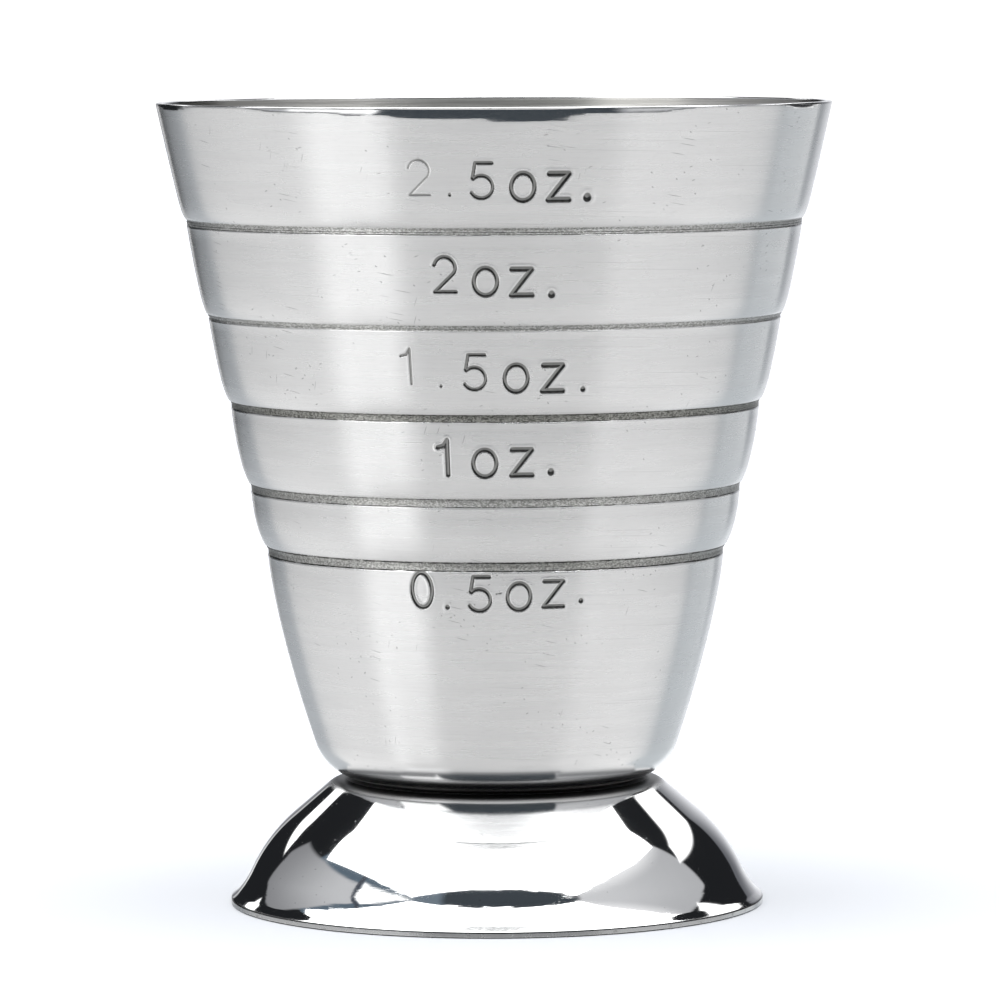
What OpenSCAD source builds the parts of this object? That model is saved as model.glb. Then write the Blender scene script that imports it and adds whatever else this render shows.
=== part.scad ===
// Stepped bar jigger: a pressed, graduated measuring cup on a hollow bell-shaped foot.
// Two pressings, joined by resistance welds between the cup's floor and the foot's top.
// Millimetres, +Z up. The origin is the centre of the flat ring that the foot stands on.

/* [Overall] */
// Height from the standing surface to the rim
total_h = 66.7; // [64:0.1:70]
// Outside diameter of the rim
rim_d = 56; // [54:0.5:58]
// Thickness of the steel sheet that both pressings are made of
sheet_t = 0.5; // [0.4:0.05:0.6]

/* [Measuring steps] */
// Height of the lowest crease, which marks 0.5 oz (15 ml)
mark_1_h = 29.6; // [28.6:0.1:30.6]
// Outside diameter of the cup at the lowest crease
mark_1_d = 37.95; // [37:0.05:39]
// Height of the second crease, 0.75 oz (22 ml)
mark_2_h = 34.95; // [34:0.05:36]
// Outside diameter of the cup at the second crease
mark_2_d = 40.7; // [40:0.05:41.5]
// Height of the third crease, 1 oz (30 ml)
mark_3_h = 41.9; // [41:0.05:43]
// Outside diameter of the cup at the third crease
mark_3_d = 44; // [43.2:0.05:44.8]
// Height of the fourth crease, 1.5 oz (45 ml)
mark_4_h = 48.95; // [48:0.05:50]
// Outside diameter of the cup at the fourth crease
mark_4_d = 47.5; // [46.8:0.05:48.2]
// Height of the highest crease, 2 oz (60 ml)
mark_5_h = 57; // [56:0.1:58]
// Outside diameter of the cup at the highest crease
mark_5_d = 51.15; // [50.4:0.05:51.8]
// How far the wall turns in at the shoulder above each crease
shoulder_in = 0.3; // [0.15:0.05:0.4]
// Height of the shoulder above each crease
shoulder_h = 0.7; // [0.5:0.1:1]
// Outward belly of the highest band between two creases
belly_high = 0.04; // [0:0.01:0.1]
// Outward belly of the lowest band between two creases
belly_low = 0.18; // [0.1:0.01:0.25]
// Height of the etched line under each crease
etch_h = 0.6; // [0.4:0.05:0.8]
// Depth of the etched line
etch_depth = 0.05; // [0.02:0.01:0.08]

/* [Cup floor] */
// Radius of the round corner between the cup's wall and its floor
corner_r = 4.4; // [3.5:0.1:5]
// Diameter of the flat part of the cup's floor
floor_d = 21.8; // [21:0.1:23]
// Outward belly of the tall band below the lowest crease
base_belly = 0.42; // [0.2:0.02:0.6]

/* [Foot] */
// Diameter of the foot's lip
foot_d = 44.4; // [43:0.1:47]
// Height of the foot, up to the cup's floor
foot_h = 10.4; // [10.2:0.1:11]
// Radius of the shoulder round the foot's flat top
neck_r = 2.5; // [2:0.1:3]
// Slope of the foot's upper cone below the horizontal, in degrees
cone_slope = 40.5; // [39:0.5:42]
// Radius of the foot's dome
dome_r = 14; // [12:0.5:14.5]
// Steepest slope of the foot, at the bottom of the dome, in degrees
steep_slope = 65; // [63:0.5:66]
// Radius of the flare below the dome
flare_r = 8; // [6:0.5:8.5]
// Slope where the flare ends, in degrees
flare_slope = 49.5; // [47:0.5:52]
// Slope of the narrow chamfer between the flare and the lip's edge, in degrees
chamfer_slope = 41; // [35:1:45]
// Width of that chamfer, seen from above
chamfer_w = 0.55; // [0.3:0.05:0.8]
// Height of the trimmed edge of the lip
lip_h = 0.48; // [0.35:0.01:0.6]
// Width of the flat ring that the foot stands on
ring_w = 0.4; // [0.3:0.05:0.5]

/* [Welds] */
// Number of weld nuggets
weld_count = 4; // [3:1:6]
// Diameter of a weld nugget
weld_d = 3; // [2:0.1:3.5]
// Diameter of the circle that the nuggets lie on
weld_circle_d = 12; // [10:0.5:14]
// How far a nugget reaches into each of the two sheets
weld_depth = 0.2; // [0.1:0.05:0.3]

/* [Hidden] */

turn_fn = 192;          // facets of a full turn
weld_fn = 48;           // facets of a weld nugget
band_steps = 12;        // straight stretches in the outline of one band
base_steps = 20;        // straight stretches in the outline of the lowest band
arc_steps = 10;         // straight stretches in one arc of an outline
crowding = 1.7;         // crowds a band's points towards its shoulder
rim_round = 0.15;       // rounding of the rim's two edges
wall_lean = 13;         // mean lean of the cup's wall from the vertical, in degrees
corner_lean = 21;       // the wall's lean where the floor's corner begins, in degrees
base_skew = 0.15;       // carries the lowest band's belly towards its top
base_ease = 0.1;        // how far the lowest band is drawn in at its top
base_ease_power = 16;   // how soon that dies out

rim_r = rim_d / 2;
foot_r = foot_d / 2;
floor_r = floor_d / 2;
wall_w = sheet_t / cos(wall_lean);   // width of the sheet, measured level across the wall

mark_count = 5;
mark_h = [mark_5_h, mark_4_h, mark_3_h, mark_2_h, mark_1_h];
mark_r = [mark_5_d, mark_4_d, mark_3_d, mark_2_d, mark_1_d] / 2;
mark = [for (i = [0:mark_count - 1]) [mark_r[i], mark_h[i]]];
rim_edge = [rim_r, total_h - rim_round];

corner_c = [floor_r, foot_h + corner_r];
corner_top = corner_c + corner_r * [cos(corner_lean), -sin(corner_lean)];

// The foot is drawn from its top outwards. The cone's length and the width of the flat top
// are what the other stretches leave of the foot's height and of its radius.
function outward(slope) = [sin(slope), cos(slope)];
function downhill(slope) = [cos(slope), -sin(slope)];
neck_go = neck_r * (outward(cone_slope) - outward(0));
dome_go = dome_r * (outward(steep_slope) - outward(cone_slope));
flare_go = flare_r * (outward(steep_slope) - outward(flare_slope));
chamfer_go = [chamfer_w, -chamfer_w * tan(chamfer_slope)];
curves_go = neck_go + dome_go + flare_go + chamfer_go;
cone_len = (foot_h - lip_h + curves_go[1]) / sin(cone_slope);
cone_go = cone_len * downhill(cone_slope);
flat_r = foot_r - curves_go[0] - cone_go[0];

neck_c = [flat_r, foot_h - neck_r];
dome_c = [flat_r, foot_h] + neck_go + cone_go - dome_r * outward(cone_slope);
flare_c = dome_c + (dome_r + flare_r) * outward(steep_slope);

function reversed(points) = [for (i = [len(points) - 1:-1:0]) points[i]];

// Points on an arc whose surface turns from one slope to another.
function slope_arc(centre, r, slope_a, slope_b) =
    [for (i = [0:arc_steps]) centre + r * outward(slope_a + (slope_b - slope_a) * i / arc_steps)];

// A point of the wall between two marks, at the part t of the way from top to low.
function band_point(top, low, belly, t) =
    let (shoulder_power = (top[1] - low[1]) / shoulder_h)
    [top[0] - (top[0] - low[0] - shoulder_in) * t + 4 * belly * t * (1 - t)
        - shoulder_in * pow(t, shoulder_power),
     top[1] + (low[1] - top[1]) * t];

// The sides and the bottom of an etched line that starts at the crease above it.
function etched_line(crease, last) =
    [crease + [-etch_depth, -etch_depth],
     last + [-etch_depth, etch_depth]];

// One band of the wall, without the point that it starts from.
function band(top, low, belly, etched) =
    let (t0 = etched ? etch_h / (top[1] - low[1]) : 0,
         first = band_point(top, low, belly, t0))
    concat(
        etched ? concat(etched_line(top, first), [first]) : [],
        [for (i = [1:band_steps])
            band_point(top, low, belly, t0 + (1 - t0) * (1 - pow(1 - i / band_steps, crowding)))]);

// A point of the tall band between the lowest mark and the floor's corner.
function base_point(t) =
    let (top = mark[mark_count - 1])
    [top[0] + base_ease * (1 - pow(1 - t, base_ease_power)) - (top[0] + base_ease - corner_top[0]) * t
        + 4 * base_belly * t * (1 - t) * (1 + base_skew * (1 - 2 * t)),
     top[1] + (corner_top[1] - top[1]) * t];

function base_band(etched) =
    let (top = mark[mark_count - 1],
         t0 = etched ? etch_h / (top[1] - corner_top[1]) : 0,
         first = base_point(t0))
    concat(
        etched ? concat(etched_line(top, first), [first]) : [],
        [for (i = [1:base_steps]) base_point(t0 + (1 - t0) * i / base_steps)]);

function belly_of(i) = belly_high + (belly_low - belly_high) * i / (mark_count - 1);

// The outside of the wall from the rim's edge down to the floor's corner.
function wall(etched) = concat(
    [rim_edge],
    band(rim_edge, mark[0], belly_of(0), false),
    [for (i = [1:mark_count - 1]) each band(mark[i - 1], mark[i], belly_of(i), etched)],
    base_band(etched));

// A quarter turn round the corner between the wall and the floor, from the wall down.
function floor_corner(r) =
    [for (i = [0:arc_steps]) let (a = corner_lean + (90 - corner_lean) * i / arc_steps)
        corner_c + r * [cos(a), -sin(a)]];

function rim_arc(centre, from, to) =
    [for (i = [0:arc_steps]) let (a = from + (to - from) * i / arc_steps)
        centre + rim_round * [cos(a), sin(a)]];

module cup_outline() {
    outside = wall(true);
    inside = [for (p = wall(false)) p - [wall_w, 0]];
    polygon(concat(
        rim_arc(rim_edge - [rim_round, 0], 90, 0),
        [for (i = [1:len(outside) - 2]) outside[i]],
        floor_corner(corner_r),
        [[0, foot_h], [0, foot_h + sheet_t]],
        reversed(floor_corner(corner_r - sheet_t)),
        reversed([for (i = [1:len(inside) - 2]) inside[i]]),
        rim_arc(rim_edge - [wall_w - rim_round, 0], 180, 90)));
}

// The curved stretches of the foot, on its outside or inset into the sheet.
function foot_line(inset) = concat(
    slope_arc(neck_c, neck_r - inset, 0, cone_slope),
    slope_arc(dome_c, dome_r - inset, cone_slope, steep_slope),
    slope_arc(flare_c, -flare_r - inset, steep_slope, flare_slope));

module foot_outline() {
    polygon(concat(
        [[0, foot_h]],
        foot_line(0),
        [[foot_r, lip_h], [foot_r, 0], [foot_r - ring_w, 0]],
        reversed(foot_line(sheet_t)),
        [[0, foot_h - sheet_t]]));
}

module weld_nuggets() {
    for (i = [0:weld_count - 1])
        rotate([0, 0, (i + 0.5) * 360 / weld_count])
            translate([weld_circle_d / 2, 0, foot_h])
                cylinder(d = weld_d, h = 2 * weld_depth, center = true, $fn = weld_fn);
}

// The graduated measuring cup, brushed outside.
module cup() {
    color([0.80, 0.81, 0.82])
        difference() {
            rotate_extrude($fn = turn_fn) cup_outline();
            weld_nuggets();
        }
}

// The hollow foot, polished outside.
module foot() {
    color([0.90, 0.91, 0.92])
        difference() {
            rotate_extrude($fn = turn_fn) foot_outline();
            weld_nuggets();
        }
}

// The weld nuggets, fused into both sheets.
module spot_welds() {
    color([0.55, 0.56, 0.58]) weld_nuggets();
}

cup();
foot();
spot_welds();
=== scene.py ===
import math
from collections import namedtuple

import bpy
import numpy as np
from mathutils import Matrix, Vector


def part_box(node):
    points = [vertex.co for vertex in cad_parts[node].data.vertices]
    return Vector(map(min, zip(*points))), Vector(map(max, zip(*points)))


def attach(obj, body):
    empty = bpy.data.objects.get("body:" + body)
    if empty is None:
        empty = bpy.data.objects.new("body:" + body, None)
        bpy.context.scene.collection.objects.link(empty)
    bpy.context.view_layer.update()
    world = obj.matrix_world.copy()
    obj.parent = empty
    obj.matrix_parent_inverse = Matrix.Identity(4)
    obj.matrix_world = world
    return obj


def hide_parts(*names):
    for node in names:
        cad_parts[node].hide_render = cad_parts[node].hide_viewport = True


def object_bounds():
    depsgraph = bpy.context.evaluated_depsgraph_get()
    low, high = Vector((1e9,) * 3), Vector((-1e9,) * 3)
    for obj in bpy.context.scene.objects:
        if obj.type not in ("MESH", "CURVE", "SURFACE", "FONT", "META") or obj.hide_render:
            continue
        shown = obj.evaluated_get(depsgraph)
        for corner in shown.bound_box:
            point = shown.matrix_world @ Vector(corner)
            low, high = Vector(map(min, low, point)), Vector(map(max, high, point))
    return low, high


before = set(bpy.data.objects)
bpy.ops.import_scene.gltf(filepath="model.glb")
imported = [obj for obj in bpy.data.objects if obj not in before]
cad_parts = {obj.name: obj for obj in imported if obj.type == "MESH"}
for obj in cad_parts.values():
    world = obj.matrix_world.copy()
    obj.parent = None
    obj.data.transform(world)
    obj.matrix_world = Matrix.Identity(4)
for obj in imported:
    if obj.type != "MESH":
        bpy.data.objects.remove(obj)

# Looks of the stepped bar jigger: the cup and the foot are built again as finely revolved
# pressings round the CAD axis, with stamped graduations, and stand in a plain pale studio.
# Shapes are worked out in millimetres and scaled to metres as each mesh is made.

MM = 0.001
cad_low, cad_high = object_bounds()
cup_low, cup_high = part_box("cup")
foot_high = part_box("foot")[1]

# ---------------------------------------------------------------- sizes, in millimetres

RIM_R = cup_high.x / MM
TOTAL_H = cup_high.z / MM
FOOT_R = foot_high.x / MM
FOOT_H = cup_low.z / MM
SHEET_T = 0.5
WALL_LEAN = math.radians(13)            # mean lean of the cup's wall from the vertical
WALL_W = SHEET_T / math.cos(WALL_LEAN)  # the sheet measured level across the wall

COLUMNS = 160                 # facets of a full turn
CELL = 2 * math.pi / COLUMNS
STAMP_GRID = 0.068            # spacing of the fine mesh under the stamped graduations

# One band of the wall: heights and radii of its ends, how far its foot turns in at the
# shoulder above the crease, the height of that shoulder, and how far the band bellies out.
Band = namedtuple("Band", "top_z low_z top_r low_r turn_in shoulder_h belly")
RIM_ROUND = 0.15
CREASE_Z = [57.0, 48.95, 41.9, 34.95, 29.6]
BANDS = [
    Band(TOTAL_H - RIM_ROUND, CREASE_Z[0], RIM_R, 25.515, 0.29, 0.46, 0.03),
    Band(CREASE_Z[0], CREASE_Z[1], 25.58, 23.715, 0.29, 0.64, 0.09),
    Band(CREASE_Z[1], CREASE_Z[2], 23.77, 21.985, 0.35, 0.70, 0.08),
    Band(CREASE_Z[2], CREASE_Z[3], 21.97, 20.34, 0.27, 0.77, 0.20),
    Band(CREASE_Z[3], CREASE_Z[4], 20.36, 18.94, 0.50, 1.20, 0.14),
]

# The tall band under the lowest crease, and the round corner into the floor.
BASE_TOP_R = 18.975
BASE_BELLY = 0.42
BASE_SKEW = 0.15
BASE_EASE = 0.1
BASE_EASE_POWER = 16
CORNER_R = 4.4
CORNER_LEAN = math.radians(21)
FLOOR_R = 10.9
CORNER_C = np.array([FLOOR_R, FOOT_H + CORNER_R])
CORNER_TOP = CORNER_C + CORNER_R * np.array([math.cos(CORNER_LEAN), -math.sin(CORNER_LEAN)])

# The etched line round each crease: a matt band with a scribed line along its head, its middle
# and its foot, and a rounded bead under that.
ETCH_TOP = 0.10
ETCH_LOW = -0.40
ETCH_DEPTH = 0.035
ETCH_EDGE = 0.05
SCRIBE_AT = (0.06, -0.24, -0.43)
SCRIBE_HALF = 0.055
SCRIBE_DEPTH = 0.045
BEAD_AT = -0.56
BEAD_HALF = 0.09
BEAD_HEIGHT = 0.012
# Each line: how much higher than its crease it is cut, how much wider than the heights above
# say, how pale its matt band is, and how strong its three scribed lines are.
Etch = namedtuple("Etch", "up wide pale scribes")
ETCHES = [
    Etch(0.00, 1.00, 1.00, (0.10, 0.55, 0.70)),
    Etch(0.252, 0.80, 0.80, (0.25, 0.40, 0.30)),
    Etch(0.06, 1.09, 0.20, (0.50, 0.25, 0.65)),
    Etch(0.13, 1.27, 0.60, (0.45, 0.10, 0.60)),
    Etch(0.265, 1.40, 0.55, (0.75, 0.10, 1.00)),
]

# The buffed stretches of the rim's outer edge: the angle of their middle and their half-length
# in degrees from the front, and how far down the wall they reach.
Buff = namedtuple("Buff", "middle half reach")
BUFFS = [Buff(-33, 14, 0.34), Buff(-20, 13, 0.55), Buff(-9, 13, 0.80), Buff(5, 13, 1.05),
         Buff(21, 17, 0.42), Buff(-70, 9, 0.32), Buff(64, 8, 0.32)]
BUFF_KINK = 0.23              # how sharply the buffed face turns from the wall
BUFF_BOW = 0.08               # how much it turns further on its way up
RIM_FINE = 1.2                # how far down from the rim the rings are close enough for that

# The polished corner under the base, and the near-black painted shade in the crevice where the cup sits on
# the foot.
POLISH_H = (1.9, 3.2)
SEAM_SHADE_UP = (0.15, 0.75)
SEAM_SHADE_DOWN = (0.10, 0.70)

# The foot's outline, from its flat top outwards.
NECK_R = 2.5
CONE_SLOPE = math.radians(40.5)
DOME_R = 14.0
STEEP_SLOPE = math.radians(65)
FLARE_R = 8.0
FLARE_SLOPE = math.radians(49.5)
CHAMFER_SLOPE = math.radians(41)
CHAMFER_W = 0.55
LIP_H = 0.48
LIP_ROUND = 0.05
RING_W = 0.4

Row = namedtuple("Row", "r z look etch scribe pale", defaults=(0, 0.0, 0.0, 0.0))
OUTSIDE, EDGE, INSIDE = 0, 1, 2


def smooth(low, high, x):
    """0 below low, 1 above high, and a smooth step between them."""
    t = np.clip((np.asarray(x, float) - low) / (high - low), 0.0, 1.0)
    return t * t * (3 - 2 * t)


# ---------------------------------------------------------------- the cup's outline

def band_radius(band, z):
    height = band.top_z - band.low_z
    t = (band.top_z - z) / height
    power = height / band.shoulder_h
    fall = (band.top_r - band.low_r - band.turn_in) * t + band.turn_in * t ** power
    return band.top_r - fall + 4 * band.belly * t * (1 - t)


def base_radius(z):
    t = (CREASE_Z[-1] - z) / (CREASE_Z[-1] - CORNER_TOP[1])
    fall = (BASE_TOP_R + BASE_EASE - CORNER_TOP[0]) * t
    ease = BASE_EASE * (1 - (1 - t) ** BASE_EASE_POWER)
    return BASE_TOP_R + ease - fall + 4 * BASE_BELLY * t * (1 - t) * (1 + BASE_SKEW * (1 - 2 * t))


def plain_radius(z):
    """The wall's outer radius at a height, before the etched lines are cut."""
    for band in BANDS:
        if z >= band.low_z:
            return band_radius(band, z)
    return base_radius(z)


def line_masks(z):
    """How much a height belongs to an etched line, to its scribed lines and to its bead, and
    how pale that line is."""
    etch = scribe = bead = pale = 0.0
    for crease, line in zip(CREASE_Z, ETCHES):
        up = (z - crease - line.up) / line.wide
        inside = smooth(ETCH_LOW - ETCH_EDGE, ETCH_LOW, up) * smooth(-ETCH_TOP - ETCH_EDGE, -ETCH_TOP, -up)
        etch = max(etch, float(inside))
        for at, strength in zip(SCRIBE_AT, line.scribes):
            scribe = max(scribe, strength * (1 - abs(up - at) / SCRIBE_HALF))
        bead = max(bead, 1 - abs(up - BEAD_AT) / BEAD_HALF)
        if -1 < up < 0.5:
            pale = line.pale
    return etch, scribe, float(smooth(0, 1, bead)), pale


def wall_row(z, look=OUTSIDE):
    """A ring of the wall's outside, with the etched lines cut into it."""
    etch, scribe, bead, pale = line_masks(z)
    r = plain_radius(z) - ETCH_DEPTH * etch - SCRIBE_DEPTH * scribe + BEAD_HEIGHT * bead
    return Row(r, z, look, etch, scribe, pale)


def band_heights(top, low, steps, crowding=1.7):
    """Heights down a band, crowded towards the shoulder at its foot."""
    parts = [(1 - i / steps) ** crowding for i in range(steps + 1)]
    return [low + (top - low) * part for part in parts]


def line_heights(crease, line):
    """Heights across an etched line, close enough for its small steps."""
    marks = [ETCH_TOP + ETCH_EDGE, ETCH_TOP, BEAD_AT + BEAD_HALF / 3, BEAD_AT,
             BEAD_AT - BEAD_HALF / 2, BEAD_AT - BEAD_HALF]
    for at in SCRIBE_AT:
        marks += [at + SCRIBE_HALF, at, at - SCRIBE_HALF]
    marks += [-0.09, ETCH_LOW]
    return [crease + line.up + mark * line.wide for mark in sorted(set(marks), reverse=True)]


def wall_heights():
    """Every height of the wall's outside, from the rim down to the floor's corner."""
    heights = []
    top = BANDS[0].top_z
    heights += list(np.linspace(top, top - RIM_FINE, 15))[:-1]
    top -= RIM_FINE
    for crease, line in zip(CREASE_Z, ETCHES):
        across = line_heights(crease, line)
        heights += band_heights(top, across[0], 10)[:-1]
        heights += across[:-1]
        top = across[-1]
    base = np.linspace(top, CORNER_TOP[1], 19)
    return heights + [float(z) for z in base]


def arc(centre, r, start, end, steps):
    """Points on an arc, its angles measured from +r towards +z, in radians."""
    return [(centre[0] + r * math.cos(a), centre[1] + r * math.sin(a))
            for a in np.linspace(start, end, steps + 1)]


def cup_rows(label_limits):
    """The cup's closed outline as rings: down its outside, in along its underside, out over
    its floor, up its inside and over the rim."""
    quarter = math.pi / 2
    heights = sorted(set(wall_heights()) | set(label_limits), reverse=True)
    rows = [wall_row(z) for z in heights]
    corner = arc(CORNER_C, CORNER_R, -CORNER_LEAN, -quarter, 12)[1:]
    rows += [Row(r, z) for r, z in corner]
    rows += [Row(r, FOOT_H, INSIDE) for r in (8.0, 5.0, 2.0)]
    rows += [Row(0.0, FOOT_H, INSIDE), Row(0.0, FOOT_H + SHEET_T, INSIDE)]
    floor = [1.5, 3.2] + list(np.linspace(4.1, 7.9, 13)) + [9.4]
    rows += [Row(r, FOOT_H + SHEET_T, INSIDE) for r in floor]
    inner_corner = arc(CORNER_C, CORNER_R - SHEET_T, -quarter, -CORNER_LEAN, 9)
    rows += [Row(r, z, INSIDE) for r, z in inner_corner]
    inner = [float(z) for z in np.linspace(CREASE_Z[-1], CORNER_TOP[1], 13)][:-1]
    for band in BANDS:
        inner += band_heights(band.top_z, band.low_z, 8)[:-1]
    inner = sorted(z for z in inner if z < BANDS[0].top_z - 0.01)
    rows += [Row(plain_radius(z) - WALL_W, z, INSIDE) for z in inner]
    top = BANDS[0].top_z
    rows += [Row(r, z, EDGE) for r, z in
             arc((RIM_R - WALL_W + RIM_ROUND, top), RIM_ROUND, math.pi, quarter, 4)]
    rows += [Row(r, z, EDGE) for r, z in arc((RIM_R - RIM_ROUND, top), RIM_ROUND, quarter, 0, 4)][:-1]
    return rows


# ---------------------------------------------------------------- the foot's outline

def outward(slope):
    return np.array([math.sin(slope), math.cos(slope)])


def downhill(slope):
    return np.array([math.cos(slope), -math.sin(slope)])


def slope_arc(centre, r, slope_a, slope_b, steps):
    return [centre + r * outward(s) for s in np.linspace(slope_a, slope_b, steps + 1)]


NECK_GO = NECK_R * (outward(CONE_SLOPE) - outward(0))
DOME_GO = DOME_R * (outward(STEEP_SLOPE) - outward(CONE_SLOPE))
FLARE_GO = FLARE_R * (outward(STEEP_SLOPE) - outward(FLARE_SLOPE))
CHAMFER_GO = np.array([CHAMFER_W, -CHAMFER_W * math.tan(CHAMFER_SLOPE)])
CURVES_GO = NECK_GO + DOME_GO + FLARE_GO + CHAMFER_GO
CONE_LEN = (FOOT_H - LIP_H + CURVES_GO[1]) / math.sin(CONE_SLOPE)
CONE_GO = CONE_LEN * downhill(CONE_SLOPE)
FLAT_R = FOOT_R - CURVES_GO[0] - CONE_GO[0]
NECK_C = np.array([FLAT_R, FOOT_H - NECK_R])
DOME_C = np.array([FLAT_R, FOOT_H]) + NECK_GO + CONE_GO - DOME_R * outward(CONE_SLOPE)
FLARE_C = DOME_C + (DOME_R + FLARE_R) * outward(STEEP_SLOPE)


def foot_line(inset, detail):
    """The foot's curved stretches, on its outside or inset into the sheet."""
    neck = slope_arc(NECK_C, NECK_R - inset, 0, CONE_SLOPE, 10 * detail)
    dome = slope_arc(DOME_C, DOME_R - inset, CONE_SLOPE, STEEP_SLOPE, 14 * detail)
    flare = slope_arc(FLARE_C, -FLARE_R - inset, STEEP_SLOPE, FLARE_SLOPE, 10 * detail)
    cone = [neck[-1] + (dome[0] - neck[-1]) * i / (4 * detail) for i in range(1, 4 * detail)]
    return neck + cone + dome + flare[1:]


def foot_rows():
    """The foot's closed outline as rings: out over its top, down to the lip, across the
    standing ring and back up its underside."""
    rows = [Row(0.0, FOOT_H, INSIDE)]
    rows += [Row(r, FOOT_H, INSIDE) for r in (4.0, 8.0, 10.8)]
    rows += [Row(r, z) for r, z in foot_line(0, 2)]
    lip_top = np.array([FOOT_R, LIP_H])
    rows += [Row(*(lip_top - CHAMFER_GO * part)) for part in (0.8, 0.5, 0.3, 0.12)]
    rows += [Row(FOOT_R - LIP_ROUND * 0.3, LIP_H, EDGE), Row(FOOT_R, LIP_H - LIP_ROUND, EDGE)]
    rows += [Row(FOOT_R, z, EDGE) for z in (0.36, 0.28, 0.2, 0.12)]
    rows += [Row(FOOT_R, LIP_ROUND, EDGE), Row(FOOT_R - LIP_ROUND * 0.3, LIP_ROUND * 0.3, EDGE)]
    rows += [Row(FOOT_R - LIP_ROUND, 0.0, EDGE), Row(FOOT_R - RING_W, 0.0, INSIDE)]
    rows += [Row(r, z, INSIDE) for r, z in reversed(foot_line(SHEET_T, 1))]
    rows += [Row(r, FOOT_H - SHEET_T, INSIDE) for r in np.linspace(7.9, 4.1, 13)]
    rows += [Row(2.0, FOOT_H - SHEET_T, INSIDE), Row(0.0, FOOT_H - SHEET_T, INSIDE)]
    return rows


# ---------------------------------------------------------------- the stamped graduations
# Each graduation is struck letter by letter into the wall. A glyph is a list of strokes in
# units of a figure's height, with its foot at 0.

FIGURE_H = 3.0


def stroke(*points):
    return [tuple(p) for p in points]


def bow(cx, cy, rx, ry, start, end, steps=22):
    """A stroke along part of an ellipse, its angles in degrees."""
    return [(cx + rx * math.cos(math.radians(a)), cy + ry * math.sin(math.radians(a)))
            for a in np.linspace(start, end, steps + 1)]


GLYPHS = {
    "0": [bow(0.32, 0.5, 0.28, 0.47, 90, 450, 32)],
    "1": [stroke((0.02, 0.76), (0.17, 0.80), (0.27, 0.96)), stroke((0.27, 0.96), (0.27, 0.02))],
    "2": [bow(0.31, 0.69, 0.28, 0.28, 165, -38) + [(0.03, 0.04)], stroke((0.03, 0.04), (0.60, 0.04))],
    "5": [stroke((0.57, 0.95), (0.13, 0.95), (0.06, 0.56)), bow(0.29, 0.32, 0.30, 0.30, 135, -150)],
    "o": [bow(0.35, 0.38, 0.31, 0.365, 90, 450, 32)],
    "z": [stroke((0.06, 0.73), (0.58, 0.73), (0.05, 0.04)), stroke((0.05, 0.04), (0.61, 0.04))],
    ".": [stroke((0.07, 0.06), (0.07, 0.07))],
    "-": [stroke((0.0, 0.0), (0.16, 0.03))],
    "'": [stroke((0.0, 0.0), (0.03, 0.14))],
}

# One struck mark: the character, where its left side stands along the wall and how high its
# foot is, from the middle of the line, the half-width of its strokes and how deep it went in.
# The dash and the tick are slips of the punch, not characters.
Struck = namedtuple("Struck", "glyph x rise half depth")
# One graduation: the height of its line, and its struck marks.
Line = namedtuple("Line", "z struck")
LINES = [
    Line(59.31, [
        Struck("2", -6.92, 0.36, 0.105, 0.040), Struck(".", -3.77, 0.31, 0.15, 0.070),
        Struck("5", -1.90, 0.16, 0.155, 0.090), Struck("o", 1.22, -0.03, 0.195, 0.105),
        Struck("z", 4.18, -0.05, 0.235, 0.120), Struck(".", 7.32, 0.05, 0.36, 0.120),
        Struck("'", 6.70, 1.70, 0.05, 0.030), Struck("'", 7.15, 2.10, 0.04, 0.022)]),
    Line(51.69, [
        Struck("2", -4.90, 0.25, 0.165, 0.095), Struck("o", -1.78, 0.05, 0.19, 0.100),
        Struck("z", 1.18, -0.02, 0.22, 0.115), Struck(".", 4.38, -0.05, 0.31, 0.095)]),
    Line(43.98, [
        Struck("1", -7.62, 0.60, 0.12, 0.055), Struck(".", -4.57, 0.30, 0.14, 0.065),
        Struck("5", -2.52, 0.15, 0.15, 0.090), Struck("o", 0.64, -0.02, 0.185, 0.100),
        Struck("z", 3.68, -0.05, 0.22, 0.115), Struck(".", 7.00, -0.03, 0.23, 0.095)]),
    Line(37.13, [
        Struck("1", -4.66, 0.06, 0.20, 0.110), Struck("o", -1.90, -0.07, 0.195, 0.105),
        Struck("z", 1.16, -0.03, 0.215, 0.115), Struck(".", 4.31, 0.15, 0.30, 0.110)]),
    Line(26.05, [
        Struck("0", -7.02, 0.17, 0.18, 0.100), Struck(".", -4.18, 0.11, 0.20, 0.095),
        Struck("5", -2.22, -0.05, 0.17, 0.100), Struck("o", 0.82, 0.04, 0.18, 0.100),
        Struck("z", 3.73, 0.20, 0.175, 0.105), Struck(".", 6.86, 0.53, 0.22, 0.090),
        Struck("-", 0.00, 1.40, 0.06, 0.045)]),
]
STAMP_MARGIN = 0.45
STAMP_FULL = 0.085            # strokes this deep get the darkest grime, and the darkest painted shade on their sides


def line_limits(line):
    """The heights between which a line's figures lie, with some room."""
    rises = [s.rise for s in line.struck]
    return line.z + min(rises) - STAMP_MARGIN, line.z + max(rises) + FIGURE_H + STAMP_MARGIN


def segment_offset(x, y, a, b):
    """How far the points x, y lie from the segment a to b, and how far below it."""
    dx, dy = b[0] - a[0], b[1] - a[1]
    length = max(dx * dx + dy * dy, 1e-9)
    t = np.clip(((x - a[0]) * dx + (y - a[1]) * dy) / length, 0, 1)
    return np.hypot(x - a[0] - t * dx, y - a[1] - t * dy), a[1] + t * dy - y


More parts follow.
